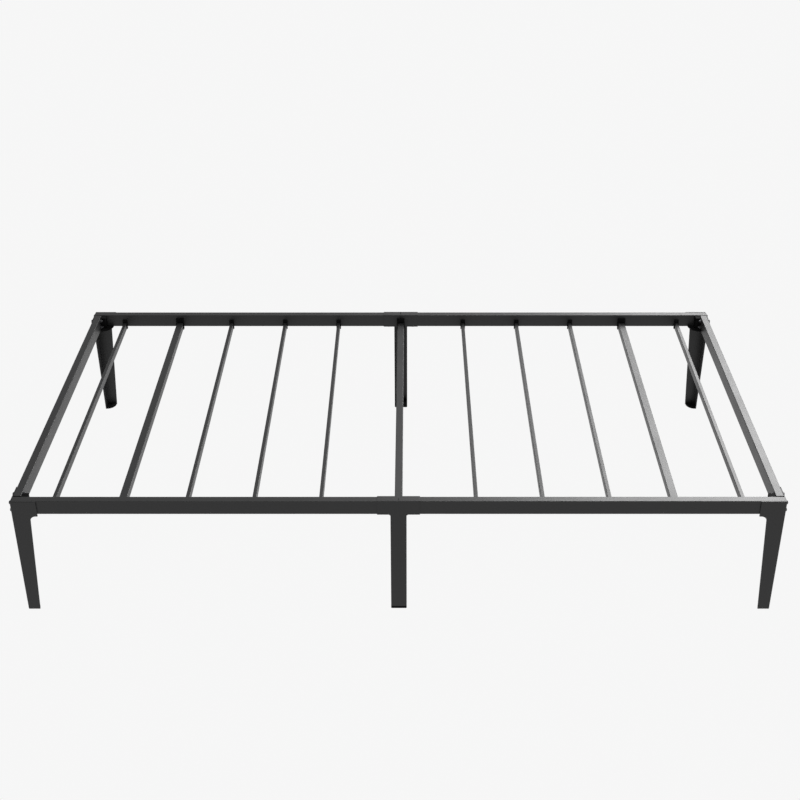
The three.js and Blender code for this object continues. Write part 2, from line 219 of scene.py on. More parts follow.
POWDER_COAT = make_powder_coat()
PLASTIC = make_plastic()
BLACK_OXIDE = make_black_oxide()

# %% [markdown]
# ## Bench tools for meshes
#
# Each piece ends the same way: its modifiers become plain mesh, its sharp edges are
# marked, its normals are weighted so that flat faces stay flat beside their rounded
# edges, and it is tied to the frame. `finish_piece` does that once for all of them.

# %% From modifiers to a plain mesh
def freeze(piece):
    """Turns the piece's modifiers into plain mesh."""
    evaluated = piece.evaluated_get(bpy.context.evaluated_depsgraph_get())
    mesh = bpy.data.meshes.new_from_object(evaluated)
    piece.modifiers.clear()
    piece.data = mesh
    return piece


def add_object(name, mesh):
    piece = bpy.data.objects.new(name, mesh)
    bpy.context.scene.collection.objects.link(piece)
    return piece


def mesh_from(points, faces=()):
    mesh = bpy.data.meshes.new("draft")
    mesh.from_pydata([tuple(point) for point in points], [], list(faces))
    return mesh


SAME_PLACE = 0.01 * MM


def clean(mesh):
    """Merges coincident points and turns every face outwards."""
    work = bmesh.new()
    work.from_mesh(mesh)
    bmesh.ops.remove_doubles(work, verts=work.verts, dist=SAME_PLACE)
    bmesh.ops.recalc_face_normals(work, faces=work.faces)
    work.to_mesh(mesh)
    work.free()
    return mesh


# %% [markdown]
# A mesh can look right and still be torn or inside out. So every finished piece is
# measured: each edge must join exactly two faces, and the volume enclosed must be
# positive, body by body. Anything else stops the script here.

# %% Measure a mesh, body by body
def loose_bodies(work):
    """Yields the faces of each connected body."""
    waiting = set(work.faces)
    while waiting:
        body, rim = set(), [waiting.pop()]
        while rim:
            face = rim.pop()
            body.add(face)
            for edge in face.edges:
                for neighbour in edge.link_faces:
                    if neighbour in waiting:
                        waiting.remove(neighbour)
                        rim.append(neighbour)
        yield body


def signed_volume(faces):
    total = 0.0
    for face in faces:
        first, *others = [corner.co for corner in face.verts]
        for second, third in zip(others, others[1:]):
            total += first.dot(second.cross(third)) / 6
    return total


def check_sound(piece):
    """Stops on an edge that doesn't join two faces, or a body turned inside out."""
    work = bmesh.new()
    work.from_mesh(piece.data)
    torn = sum(1 for edge in work.edges if len(edge.link_faces) != 2)
    volumes = [signed_volume(body) for body in loose_bodies(work)]
    work.free()
    if torn or min(volumes) <= 0:
        raise ValueError(f"{piece.name}: {torn} torn edges, smallest body {min(volumes):.3g} m3")
    return len(volumes)


# %% [markdown]
# Moulded and pressed parts never end in a knife edge. A Bevel modifier limited by angle
# rounds the sharp edges only, and Weighted Normals keep the flats flat beside them.

# %% The last touches on every piece
EDGE_STEPS = 2
ROUNDED_FROM = math.radians(32)  # edges sharper than this are rounded
CREASED_FROM = math.radians(50)  # edges sharper than this stay crisp in the shading


def finish_piece(piece, material, nodes=(), edge=0.0):
    """Rounds the edges by `edge` metres, smooths the shading, and ties the piece to the frame."""
    if edge:
        rounding = piece.modifiers.new("edges", "BEVEL")
        rounding.width = edge
        rounding.segments = EDGE_STEPS
        rounding.limit_method = "ANGLE"
        rounding.angle_limit = ROUNDED_FROM
        freeze(piece)
    mesh = piece.data
    mesh.materials.clear()
    mesh.materials.append(material)
    mesh.polygons.foreach_set("use_smooth", [True] * len(mesh.polygons))
    mesh.set_sharp_from_angle(angle=CREASED_FROM)
    weighting = piece.modifiers.new("flat faces stay flat", "WEIGHTED_NORMAL")
    weighting.keep_sharp = True
    freeze(piece)
    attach(piece, BODY)
    if nodes:
        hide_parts(*nodes)
    print(f"{piece.name}: {len(piece.data.polygons)} faces, {check_sound(piece)} closed bodies")
    return piece


# %% [markdown]
# Sheet and moulded parts are quickest to build as a joiner would: blocks and outlines
# drawn out along an axis, added together, then drilled. The exact boolean solver keeps
# flush faces flush, which the fast one doesn't promise.

# %% Cutting and joining
ROUND = 32  # sides of anything turned or drilled


def combine(base, tool, operation):
    """Adds or cuts away another object's solid, and removes that object."""
    step = base.modifiers.new("combine", "BOOLEAN")
    step.operation = operation
    step.solver = "EXACT"
    step.object = tool
    freeze(base)
    bpy.data.objects.remove(tool)
    return base


def block(low, high, name="block"):
    """A block between two corners."""
    work = bmesh.new()
    bmesh.ops.create_cube(work, size=1.0)
    size = Vector(high) - Vector(low)
    middle = (Vector(high) + Vector(low)) / 2
    work.transform(Matrix.Translation(middle) @ Matrix.Diagonal((*size, 1.0)))
    mesh = bpy.data.meshes.new(name)
    work.to_mesh(mesh)
    work.free()
    return add_object(name, mesh)


def drill(radius, start, end):
    """A round bar from one point to another, for cutting holes."""
    start, end = Vector(start), Vector(end)
    along = end - start
    work = bmesh.new()
    turn = along.to_track_quat("Z", "Y").to_matrix().to_4x4()
    bmesh.ops.create_cone(work, cap_ends=True, segments=ROUND, radius1=radius, radius2=radius,
                          depth=along.length, matrix=Matrix.Translation((start + end) / 2) @ turn)
    mesh = bpy.data.meshes.new("drill")
    work.to_mesh(mesh)
    work.free()
    return add_object("drill", mesh)


# %% [markdown]
# An outline is a list of flat points. `arc` rounds a corner of one, and `prism` draws it
# out into a solid along X, Y or Z.

# %% Outlines
def arc(centre, radius, start, end, steps=6):
    """Points round a centre, from one angle to another in degrees."""
    turns = [math.radians(start + (end - start) * step / steps) for step in range(steps + 1)]
    return [(centre[0] + radius * math.cos(a), centre[1] + radius * math.sin(a)) for a in turns]


def prism(outline, axis, start, end):
    """A flat outline drawn out along an axis (0, 1 or 2)."""
    count = len(outline)
    points = []
    for level in (start, end):
        for flat in outline:
            point = list(flat)
            point.insert(axis, level)
            points.append(point)
    faces = [tuple(range(count)), tuple(range(2 * count - 1, count - 1, -1))]
    for i in range(count):
        j = (i + 1) % count
        faces.append((i, j, count + j, count + i))
    return add_object("prism", clean(mesh_from(points, faces)))


# %% [markdown]
# A union is a run of joins, tidied once at the end, since a join can leave two points in
# one place. A mirror turns a mesh inside out, so after an odd mirror its faces are
# flipped back.

# %% Sums and mirror images of solids
def union(pieces):
    """Adds a list of solids into the first one."""
    whole = pieces[0]
    for piece in pieces[1:]:
        combine(whole, piece, "UNION")
    clean(whole.data)
    return whole


def mirrored(mesh, across_x, across_y):
    """A copy of a mesh on the other side of the frame, with its faces still outwards."""
    copy = mesh.copy()
    copy.transform(Matrix.Diagonal((-1 if across_x else 1, -1 if across_y else 1, 1, 1)))
    if across_x != across_y:
        copy.flip_normals()
    return copy


# %% [markdown]
# The frame is the same in all four quarters, so one corner piece or one mid piece is
# made and its mirror images follow. Drawing four by hand would be four times the work
# and four chances to differ.

# %% Mirror images of a piece
def to_corners(first, name, node, material, edge):
    for side in SIDES:
        for end in ENDS:
            mesh = mirrored(first.data, side == "right", end == "rear")
            finish_piece(add_object(f"{name}_{side}_{end}", mesh), material,
                         [f"{node}_{side}_{end}"], edge)
    bpy.data.objects.remove(first)


def to_front_and_rear(first, name, node, material, edge):
    for end in ENDS:
        mesh = mirrored(first.data, False, end == "rear")
        finish_piece(add_object(f"{name}_{end}", mesh), material, [f"{node}_{end}"], edge)
    bpy.data.objects.remove(first)


# %% [markdown]
# ## Tubes
#
# Rails, cross bars and the joint inserts are all one idea: a rounded rectangle with a
# smaller one inside it, drawn out along its length. That is a rule, so Geometry Nodes
# hold it. The tree fills the space between two rounded rectangles, extrudes it, closes
# the far end, and stands a copy on each point it is given. A points mesh made from the
# CAD boxes says where. Drawing the section once keeps every tube's corners alike.

# %% A tree with named inputs, and a way to run it
def new_tree(name, sizes):
    """A tree that takes points, a number for each size, a turn and a material."""
    tree = bpy.data.node_groups.new(name, "GeometryNodeTree")
    tree.is_modifier = True
    tree.interface.new_socket("Geometry", in_out="OUTPUT", socket_type="NodeSocketGeometry")
    kinds = {"Geometry": "NodeSocketGeometry", **dict.fromkeys(sizes, "NodeSocketFloat"),
             "Turn": "NodeSocketRotation", "Material": "NodeSocketMaterial"}
    for title, kind in kinds.items():
        tree.interface.new_socket(title, in_out="INPUT", socket_type=kind)
    given = tree.nodes.new("NodeGroupInput").outputs
    return tree, given, [Wire(given[title]) for title in sizes]


def together(tree, *shapes):
    node = add_node(tree, "GeometryNodeJoinGeometry")
    for shape in shapes:
        tree.links.new(shape, node.inputs[0])
    return node.outputs[0]


def end_tree(tree, given, shape):
    """Stands a turned copy of the shape on every point, as plain painted mesh."""
    copies = add_node(tree, "GeometryNodeInstanceOnPoints", values={
        "Points": given["Geometry"], "Instance": shape, "Rotation": given["Turn"]})
    solid = add_node(tree, "GeometryNodeRealizeInstances", values={"Geometry": copies.outputs[0]})
    painted = add_node(tree, "GeometryNodeSetMaterial", values={
        "Geometry": solid.outputs[0], "Material": given["Material"]})
    add_node(tree, "NodeGroupOutput", values={"Geometry": painted.outputs[0]})
    return tree


def run_tree(name, tree, mesh, values):
    """Runs a tree on a mesh and returns the result as a plain object."""
    piece = add_object(name, mesh)
    modifier = piece.modifiers.new("tree", "NODES")
    modifier.node_group = tree
    for item in tree.interface.items_tree:
        if item.in_out == "INPUT" and item.name in values:
            modifier[item.identifier] = values[item.name]
    return freeze(piece)


# %% [markdown]
# A rounded rectangle is a quadrilateral curve with a fillet. Two of them, filled, give
# the section. The inner corner is the outer one less the wall, but never quite sharp.

# %% The tube's section
CORNER_STEPS = 5
LEAST_CORNER = 0.3 * MM


def rounded_rectangle(tree, width, height, corner):
    rectangle = add_node(tree, "GeometryNodeCurvePrimitiveQuadrilateral", values={
        "Width": width, "Height": height})
    rounded = add_node(tree, "GeometryNodeFilletCurve", {"mode": "POLY"}, {
        "Curve": rectangle.outputs[0], "Count": CORNER_STEPS, "Radius": corner})
    return rounded.outputs[0]


def tube_section(tree, width, height, wall, corner):
    """Flat faces that fill the wall between two rounded rectangles."""
    outer = rounded_rectangle(tree, width, height, corner)
    within = corner - wall
    inner = rounded_rectangle(tree, width - 2.0 * wall, height - 2.0 * wall,
                              within.maths("MAXIMUM", within, LEAST_CORNER))
    section = add_node(tree, "GeometryNodeFillCurve", {"mode": "TRIANGLES"}, {
        "Curve": together(tree, outer, inner)})
    return section.outputs[0]


# %% [markdown]
# Extrude Mesh draws the section out. It leaves the start open, so a flipped copy of the
# section closes it. The tube is then moved back by half its length, to centre it.

# %% The tube tree
TUBE_SIZES = ("Width", "Height", "Length", "Wall", "Corner")


def make_tube_tree():
    tree, given, (width, height, length, wall, corner) = new_tree("tube", TUBE_SIZES)
    section = tube_section(tree, width, height, wall, corner)
    drawn = add_node(tree, "GeometryNodeExtrudeMesh", values={
        "Mesh": section, "Offset Scale": length, "Individual": False})
    back = add_node(tree, "GeometryNodeFlipFaces", values={"Mesh": section})
    closed = together(tree, drawn.outputs[0], back.outputs[0])
    merged = add_node(tree, "GeometryNodeMergeByDistance", values={
        "Geometry": closed, "Distance": 2 * SAME_PLACE})
    shift = add_node(tree, "ShaderNodeCombineXYZ", values={"Z": length * -0.5})
    centred = add_node(tree, "GeometryNodeTransform", values={
        "Geometry": merged.outputs[0], "Translation": shift.outputs[0]})
    return end_tree(tree, given, centred.outputs[0])


TUBE_TREE = make_tube_tree()
print("tube tree:", len(TUBE_TREE.nodes), "nodes")

# Turned this way, a tube's height stands along Z and its length lies along X or Y.
LENGTHWAYS = (math.radians(90), 0.0, math.radians(90))
CROSSWAYS = (math.radians(90), 0.0, 0.0)


# %% [markdown]
# Each run takes one section and any number of places. The centres, widths and lengths
# come from the CAD boxes. Only the wall and the corner radius are said here.

# %% Draw the tubes
def draw_tubes(name, nodes, wall, corner):
    """One piece of tube for each CAD node, all of one section, centred on the nodes' boxes."""
    low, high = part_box(nodes[0])
    size = high - low
    lengthways = size.x > size.y
    centres = [(sum(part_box(node), Vector()) / 2) for node in nodes]
    piece = run_tree(name, TUBE_TREE, mesh_from(centres), {
        "Width": size.y if lengthways else size.x, "Height": size.z,
        "Length": size.x if lengthways else size.y, "Wall": wall, "Corner": corner,
        "Turn": LENGTHWAYS if lengthways else CROSSWAYS, "Material": POWDER_COAT})
    return finish_piece(piece, POWDER_COAT, nodes)


RAIL = {"wall": 1.2 * MM, "corner": 1.5 * MM}
for side in SIDES:
    draw_tubes(f"rail_end_{side}", [f"end_rail_{side}"], **RAIL)
    for end in ENDS:
        draw_tubes(f"rail_side_{side}_{end}", [f"side_rail_{side}_{end}"], **RAIL)
for end in ENDS:
    draw_tubes(f"insert_{end}", [f"rail_joint_insert_{end}"], **RAIL)

# %% [markdown]
# The cross bars come in two widths: one wide bar in each half of the frame, and narrow
# ones elsewhere. The script sorts them by the width of their boxes.

# %% Draw the cross bars
BARS = [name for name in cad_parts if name.startswith("slat_") and "holder" not in name]
BAR = {"wall": 1.0 * MM, "corner": 1.2 * MM}
WIDE_FROM = 15 * MM


def width_of(node):
    low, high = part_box(node)
    return high.x - low.x


NARROW_BARS = sorted(name for name in BARS if width_of(name) < WIDE_FROM)
WIDE_BARS = sorted(name for name in BARS if width_of(name) >= WIDE_FROM)
draw_tubes("bars_narrow", NARROW_BARS, **BAR)
draw_tubes("bars_wide", WIDE_BARS, **BAR)
draw_tubes("bar_centre", ["centre_bar"], **BAR)

# %% [markdown]
# ## Bar holders
#
# Each cross bar ends in a moulded holder: a back plate that stands a little above the
# bar, a cheek on either side of it, a plug inside it, and a peg that hooks into the rail.
# There are twenty-two, in three kinds, so a tree builds them from five blocks whose sizes
# are its inputs. The origin of the tree's shape is the end of the bar, at the middle of
# its underside, and so the points come straight from the bars' boxes.

# %% The holder tree
PLUG = 25 * MM
PEG_WIDTH = 5 * MM
PEG_REACH = 5.5 * MM
HOLDER_SIZES = ("Bar Width", "Bar Height", "Bar Wall", "Rise", "Cheek", "Side", "Back",
                "Peg Height", "Peg Middle")


def brick(tree, size, middle):
    across = add_node(tree, "ShaderNodeCombineXYZ", values=dict(zip("XYZ", size)))
    cube = add_node(tree, "GeometryNodeMeshCube", values={"Size": across.outputs[0]})
    place = add_node(tree, "ShaderNodeCombineXYZ", values=dict(zip("XYZ", middle)))
    moved = add_node(tree, "GeometryNodeTransform", values={
        "Geometry": cube.outputs[0], "Translation": place.outputs[0]})
    return moved.outputs[0]


def make_holder_tree():
    tree, given, sizes = new_tree("holder", HOLDER_SIZES)
    width, height, wall, rise, cheek, side, back, peg_height, peg_middle = sizes
    plate = brick(tree, (width + 2.0 * side, back, height + rise),
                  (0.0, -0.5 * back - GAP, 0.5 * (height + rise)))
    cheek_size = (side - GAP, cheek + 2 * GAP, height)
    cheek_x = 0.5 * width + 0.5 * side + 0.5 * GAP
    cheeks = [brick(tree, cheek_size, (sign * cheek_x, 0.5 * cheek - GAP, 0.5 * height))
              for sign in (-1, 1)]
    room = 2.0 * wall + 2 * GAP
    plug = brick(tree, (width - room, PLUG + 2 * GAP, height - room),
                 (0.0, 0.5 * PLUG - GAP, 0.5 * height))
    peg = brick(tree, (PEG_WIDTH, PEG_REACH + GAP, peg_height),
                (0.0, -0.5 * (PEG_REACH - GAP) - GAP - back, peg_middle))
    whole = add_node(tree, "GeometryNodeMeshBoolean", {"operation": "UNION", "solver": "EXACT"})
    for part in (plate, *cheeks, plug, peg):
        tree.links.new(part, whole.inputs["Mesh 2"])
    return end_tree(tree, given, whole.outputs[0])


HOLDER_TREE = make_holder_tree()
print("holder tree:", len(HOLDER_TREE.nodes), "nodes")

# %% [markdown]
# A holder of the rear rail is one of the front rail turned half round, so only the points
# and the turn differ. The centre bar ends at the mid legs' sleeves, where no slot waits
# for a peg, so its pegs are cut off flush with the back plates.

# %% Set the holders
WIDE_HOLDER = {"Rise": 15 * MM, "Cheek": 6 * MM}
NARROW_HOLDER = {"Rise": 9 * MM, "Cheek": 2 * MM}
PEG_DROP = 24 * MM  # rail top to the middle of the peg
PEG_HEIGHT = 12 * MM
CHEEK_WALL = 2.2 * MM
BACK = 5 * MM
TRIM_WIDTH = 100 * MM  # the cutter is far larger than the peg that it takes off
TRIM_HEIGHTS = (200 * MM, 400 * MM)
UNTURNED = (0.0, 0.0, 0.0)
HALF_TURN = (0.0, 0.0, math.pi)


def set_holders(name, bars, kind, pegged=True):
    for end in ENDS:
        boxes = [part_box(bar) for bar in bars]
        low, high = boxes[0]
        points = [((a.x + b.x) / 2, a.y if end == "front" else b.y, a.z) for a, b in boxes]
        piece = run_tree(f"{name}_{end}", HOLDER_TREE, mesh_from(points), {
            "Bar Width": high.x - low.x, "Bar Height": high.z - low.z, "Bar Wall": BAR["wall"],
            "Side": CHEEK_WALL, "Back": BACK, **kind,
            "Peg Height": PEG_HEIGHT, "Peg Middle": RAIL_TOP - PEG_DROP - low.z,
            "Turn": HALF_TURN if end == "rear" else UNTURNED, "Material": PLASTIC})
        if not pegged:
            trim_pegs(piece, points[0][1], end)
        finish_piece(piece, PLASTIC, [f"{bar}_holder_{end}" for bar in bars], edge=0.45 * MM)


def trim_pegs(piece, bar_end, end):
    """Cuts off what stands behind the back plate."""
    outward = -1 if end == "front" else 1
    plate_face = bar_end + outward * (BACK + GAP)
    near, far = sorted((plate_face, plate_face + outward * 2 * PEG_REACH))
    cutter = block((-TRIM_WIDTH / 2, near, TRIM_HEIGHTS[0]), (TRIM_WIDTH / 2, far, TRIM_HEIGHTS[1]))
    combine(piece, cutter, "DIFFERENCE")


set_holders("holders_narrow", NARROW_BARS, NARROW_HOLDER)
set_holders("holders_wide", WIDE_BARS, WIDE_HOLDER)
set_holders("holder_centre", ["centre_bar"], WIDE_HOLDER, pegged=False)

# %% [markdown]
# ## Corner legs
#
# A corner leg is one steel sheet, cut to shape, punched and bent into an angle. Both
# wings have the same outline: a wide head over the rails, a concave fillet and a stem
# that tapers to the floor. Lofting suits it: an angle-shaped ring is drawn at each
# height, as wide as the outline is there, and the rings are joined by strips of faces.
# Near the top the outer face rolls inwards, which gives the soft bright edge that a
# pressed sheet has.

# %% The outline and the section of a leg
SHEET = 2.5 * MM
BEND = 3.0 * MM
ROLL_UP = 3.0 * MM
ROLL_IN = 1.5 * MM
HEAD_WIDTH = leg_high.x - leg_low.x
HEAD_DROP = 45.5 * MM
STEM_TOP = 45.5 * MM
STEM_FOOT = 31 * MM
FILLET = 14 * MM
LEDGE = 0.2 * MM  # a hair of slope under the head, so no face of the loft has zero area
QUARTER = math.radians(90)
FILLET_STEPS = 12
ROLL_STEPS = 6


def leg_rows():
    """(height, wing width, inset of the outer face) from the floor to the top."""
    head_foot = RAIL_TOP - HEAD_DROP
    fillet_foot = head_foot - FILLET
    rows = [(LEG_FOOT, STEM_FOOT, 0.0), (fillet_foot, STEM_TOP, 0.0)]
    for step in range(1, FILLET_STEPS + 1):
        angle = QUARTER * step / FILLET_STEPS
        rows.append((fillet_foot + FILLET * math.sin(angle),
                     STEM_TOP + FILLET * (1 - math.cos(angle)), 0.0))
    rows.append((head_foot + LEDGE, HEAD_WIDTH, 0.0))
    for step in range(ROLL_STEPS + 1):
        angle = QUARTER * step / ROLL_STEPS
        rows.append((RAIL_TOP - ROLL_UP * (1 - math.sin(angle)), HEAD_WIDTH,
                     ROLL_IN * (1 - math.cos(angle))))
    return rows


def leg_ring(width, inset):
    """The angle seen from above, its outer corner at the origin."""
    bend = (BEND, BEND)
    outer = [(width, inset), *arc(bend, BEND - inset, 270, 180), (inset, width)]
    inner = [(SHEET, width), *arc(bend, BEND - SHEET, 180, 270), (width, SHEET)]
    return outer + inner


# %% [markdown]
# Every ring has the same number of points, so ring follows ring with plain four-sided
# faces. The floor end and the top end are closed with a strip across the sheet.

# %% Loft one leg
def make_leg_mesh():
    points, faces = [], []
    rows = leg_rows()
    for height, width, inset in rows:
        points += [(x, y, height) for x, y in leg_ring(width, inset)]
    count = len(points) // len(rows)
    for base in range(0, (len(rows) - 1) * count, count):
        for i in range(count):
            j = (i + 1) % count
            faces.append((base + i, base + j, base + count + j, base + count + i))
    for base in (0, (len(rows) - 1) * count):
        for i in range(count // 2 - 1):
            faces.append((base + i, base + i + 1, base + count - 2 - i, base + count - 1 - i))
    mesh = clean(mesh_from(points, faces))
    mesh.transform(Matrix.Translation((-LEG_CORNER.x, -LEG_CORNER.y, 0)))
    return mesh


# %% [markdown]
# A headboard bolts to a leg's end wing, through three holes in one line. A hole is a thin
# bar taken away. One leg is punched and then mirrored, so all four match.

# %% Punch the headboard holes and set the four legs
HEADBOARD_DROPS = (97 * MM, 160 * MM, 223 * MM)
HEADBOARD_HOLE = {"radius": 4.5 * MM, "from_face": 22 * MM}
leg = add_object("draft_leg", make_leg_mesh())
for drop in HEADBOARD_DROPS:
    place = Vector((-LEG_CORNER.x, -LEG_CORNER.y + HEADBOARD_HOLE["from_face"], RAIL_TOP - drop))
    reach = Vector((2 * SHEET, 0, 0))
    combine(leg, drill(HEADBOARD_HOLE["radius"], place - reach, place + reach), "DIFFERENCE")
to_corners(leg, "leg", "corner_leg", POWDER_COAT, edge=0.4 * MM)

# %% [markdown]
# The pad in the foot of a corner leg is a quarter disc that fills the angle. A thin sole
# under it keeps the sheet's cut edge off the floor.

# %% Corner foot pads
PAD_RADIUS = 27 * MM
PAD_HEIGHT = 7 * MM
DISC_STEPS = 18


def quarter_disc(corner, radius):
    return [corner, *arc(corner, radius, 0, 90, steps=DISC_STEPS)]


pad_corner = (-LEG_CORNER.x + SHEET + GAP, -LEG_CORNER.y + SHEET + GAP)
sole_corner = (-LEG_CORNER.x + SHEET / 2, -LEG_CORNER.y + SHEET / 2)
corner_pad = union([prism(quarter_disc(pad_corner, PAD_RADIUS), 2, 0.0, PAD_HEIGHT),
                    prism(quarter_disc(sole_corner, PAD_RADIUS), 2, 0.0, LEG_FOOT - GAP)])
to_corners(corner_pad, "pad", "corner_foot_pad", PLASTIC, edge=0.3 * MM)

# %% [markdown]
# ## Corner blocks
#
# A moulded block fills the inside corner between two rails. A post stands up to just
# below the rail tops, a quarter-round plate braces it at the bottom, and a tongue runs
# into the end rail. The tongue can't be seen, but the block would be a stump without it.

# %% Corner blocks
POST = Vector((16 * MM, 17.5 * MM))
POST_DROP = 2 * MM
BRACE = {"radius": 36 * MM, "thick": 3 * MM}
TONGUE = 60 * MM
TUBE_INSET = RAIL["wall"] + GAP
end_face, side_face = -END_INNER + GAP, -SIDE_INNER + GAP
end_rail_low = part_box("end_rail_left")[0]
tongue_x = end_rail_low.x + TUBE_INSET
tongue_z = (RAIL_BOTTOM + TUBE_INSET, RAIL_TOP - TUBE_INSET - POST_DROP)
corner_block = union([
    block((end_face, side_face, RAIL_BOTTOM),
          (end_face + POST.x, side_face + POST.y, RAIL_TOP - POST_DROP)),
    prism(quarter_disc((end_face, side_face), BRACE["radius"]), 2,
          RAIL_BOTTOM, RAIL_BOTTOM + BRACE["thick"]),
    block((tongue_x, side_face, tongue_z[0]),
          (end_face + BRACE["thick"], end_rail_low.y - GAP, tongue_z[1])),
    block((tongue_x, side_face, tongue_z[0]),
          (-END_INNER - TUBE_INSET, side_face + TONGUE, tongue_z[1]))])
to_corners(corner_block, "corner_block", "corner_connector", PLASTIC, edge=0.6 * MM)

# %% [markdown]
# ## Mid legs
#
# A mid leg is a folded channel under a square sleeve. The sleeve slides over the joint of
# two rail halves, and it is open along its top and down its inner wall, so that it can
# close on them. The channel is an outline drawn upwards, the sleeve is a short tube, and
# a small web with two fillets spreads the one into the other. Exact booleans weld the
# three, as the factory's welder does.

# %% The sizes of a mid leg
MID_SHEET = 1.2 * MM
MID_PROUD = MID_SHEET + GAP
MID_BEND = 2.5 * MM
MID_FILLET = 3 * MM
MID_SLIT = 2.5 * MM
OVERCUT = 1 * MM  # how far a cutter runs past the face that it cuts
STEM = {"width": 41 * MM, "depth": 22 * MM}
mid_low, mid_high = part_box("mid_leg_front")
MID_FACE = mid_low.y
SLEEVE_FOOT = RAIL_BOTTOM - MID_PROUD
SLEEVE_CORNER = RAIL["corner"] + MID_SHEET / 2
print(f"sleeve foot {SLEEVE_FOOT:.4f} m, stem {STEM['width']:.3f} x {STEM['depth']:.3f} m")


# %% [markdown]
# The channel is one outline, drawn round the outside and back along the inside. The
# web's outline has a fillet on each side, where the stem spreads into the sleeve.

# %% The channel and the web
def channel_outline():
    """The channel seen from above, its closed side to the front."""
    x, back = STEM["width"] / 2, MID_FACE + STEM["depth"]
    bend_x, bend_y = x - MID_BEND, MID_FACE + MID_BEND
    inside = MID_BEND - MID_SHEET
    return [(-x, back), *arc((-bend_x, bend_y), MID_BEND, 180, 270),
            *arc((bend_x, bend_y), MID_BEND, 270, 360), (x, back), (x - MID_SHEET, back),
            *arc((bend_x, bend_y), inside, 360, 270),
            *arc((-bend_x, bend_y), inside, 270, 180), (-x + MID_SHEET, back)]


def web_outline():
    """The web seen from the front, with a fillet on each side."""
    edge, spread = STEM["width"] / 2, STEM["width"] / 2 + MID_FILLET
    fillet_foot = SLEEVE_FOOT - MID_FILLET
    top = SLEEVE_FOOT + SLEEVE_CORNER + GAP
    foot = edge - MID_BEND
    return [(-foot, fillet_foot - MID_FILLET), (foot, fillet_foot - MID_FILLET),
            (edge, fillet_foot), *arc((spread, fillet_foot), MID_FILLET, 180, 90), (spread, top),
            (-spread, top), *arc((-spread, fillet_foot), MID_FILLET, 90, 0), (-edge, fillet_foot)]


# %% [markdown]
# The sleeve is a tube like the rails, so it comes from the same tree. Once the three are
# joined, two thin blocks open the seam: along the top, and down the inner wall.

# %% Weld a mid leg and open its sleeve
sleeve_middle = Vector((0, (mid_low.y + mid_high.y) / 2, (SLEEVE_FOOT + mid_high.z) / 2))
sleeve = run_tree("sleeve", TUBE_TREE, mesh_from([sleeve_middle]), {
    "Width": mid_high.y - mid_low.y, "Height": mid_high.z - SLEEVE_FOOT,
    "Length": mid_high.x - mid_low.x, "Wall": MID_SHEET, "Corner": SLEEVE_CORNER,
    "Turn": LENGTHWAYS, "Material": POWDER_COAT})
stem = prism(channel_outline(), 2, mid_low.z, SLEEVE_FOOT + MID_SHEET / 2)
web = prism(web_outline(), 1, MID_FACE, MID_FACE + MID_SHEET)
mid_leg = union([sleeve, stem, web])
combine(mid_leg, block((-MID_SLIT / 2, mid_low.y + 2 * MID_SHEET, RAIL_TOP - OVERCUT),
                       (MID_SLIT / 2, mid_high.y + OVERCUT, mid_high.z + OVERCUT)), "DIFFERENCE")
combine(mid_leg, block((-MID_SLIT / 2, mid_high.y - 2 * MID_SHEET, RAIL_BOTTOM),
                       (MID_SLIT / 2, mid_high.y + OVERCUT, RAIL_TOP)), "DIFFERENCE")
to_front_and_rear(mid_leg, "leg_mid", "mid_leg", POWDER_COAT, edge=0.25 * MM)

# %% [markdown]
# The cap on a mid leg's foot has chamfered ends and a plug that grips inside the channel.

# %% Mid foot pads
CAP = {"height": 7 * MM, "chamfer": 2 * MM, "plug": 14 * MM}
cap_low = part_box("mid_foot_pad_front")[0]
half, sole = STEM["width"] / 2, cap_low.z
cap_top = sole + CAP["height"]
cap_outline = [(-half + CAP["chamfer"], sole), (half - CAP["chamfer"], sole),
               (half, sole + CAP["chamfer"]), (half, cap_top), (-half, cap_top),
               (-half, sole + CAP["chamfer"])]
grip = half - MID_BEND - GAP
mid_back = MID_FACE + STEM["depth"]
mid_pad = union([prism(cap_outline, 1, MID_FACE, mid_back),
                 block((-grip, MID_FACE + MID_BEND + GAP, cap_top - OVERCUT),
                       (grip, mid_back, cap_top + CAP["plug"]))])
to_front_and_rear(mid_pad, "mid_pad", "mid_foot_pad", PLASTIC, edge=0.5 * MM)

# %% [markdown]
# ## Bolts and nuts
#
# Two bolts over one another hold each end rail to its leg, and two more hold the side
# rail's end. Their heads are domed with a hexagon socket, and the nuts sit on the inner
# face of the end rail. A dome is a short cylinder whose top face is raised and shrunk a
# few times. A hexagon is a cylinder with six sides. A boolean cuts the socket.

# %% Turned bars and their booleans, inside a tree
def turned(tree, sides, radius, length, base, crown=()):
    """A cylinder that starts at `base` and may end in a crown of (rise, shrink) steps."""
    bar = add_node(tree, "GeometryNodeMeshCylinder", {"fill_type": "NGON"}, {
        "Vertices": sides, "Radius": radius, "Depth": length})
    shape, top = bar.outputs["Mesh"], bar.outputs["Top"]
    for rise, shrink in crown:
        raised = add_node(tree, "GeometryNodeExtrudeMesh", values={
            "Mesh": shape, "Selection": top, "Offset Scale": rise, "Individual": False})
        top = raised.outputs["Top"]
        shape = add_node(tree, "GeometryNodeScaleElements", values={
            "Geometry": raised.outputs["Mesh"], "Selection": top, "Scale": shrink}).outputs[0]
    place = add_node(tree, "ShaderNodeCombineXYZ", values={"Z": 0.5 * length + base})
    return add_node(tree, "GeometryNodeTransform", values={
        "Geometry": shape, "Translation": place.outputs[0]}).outputs[0]


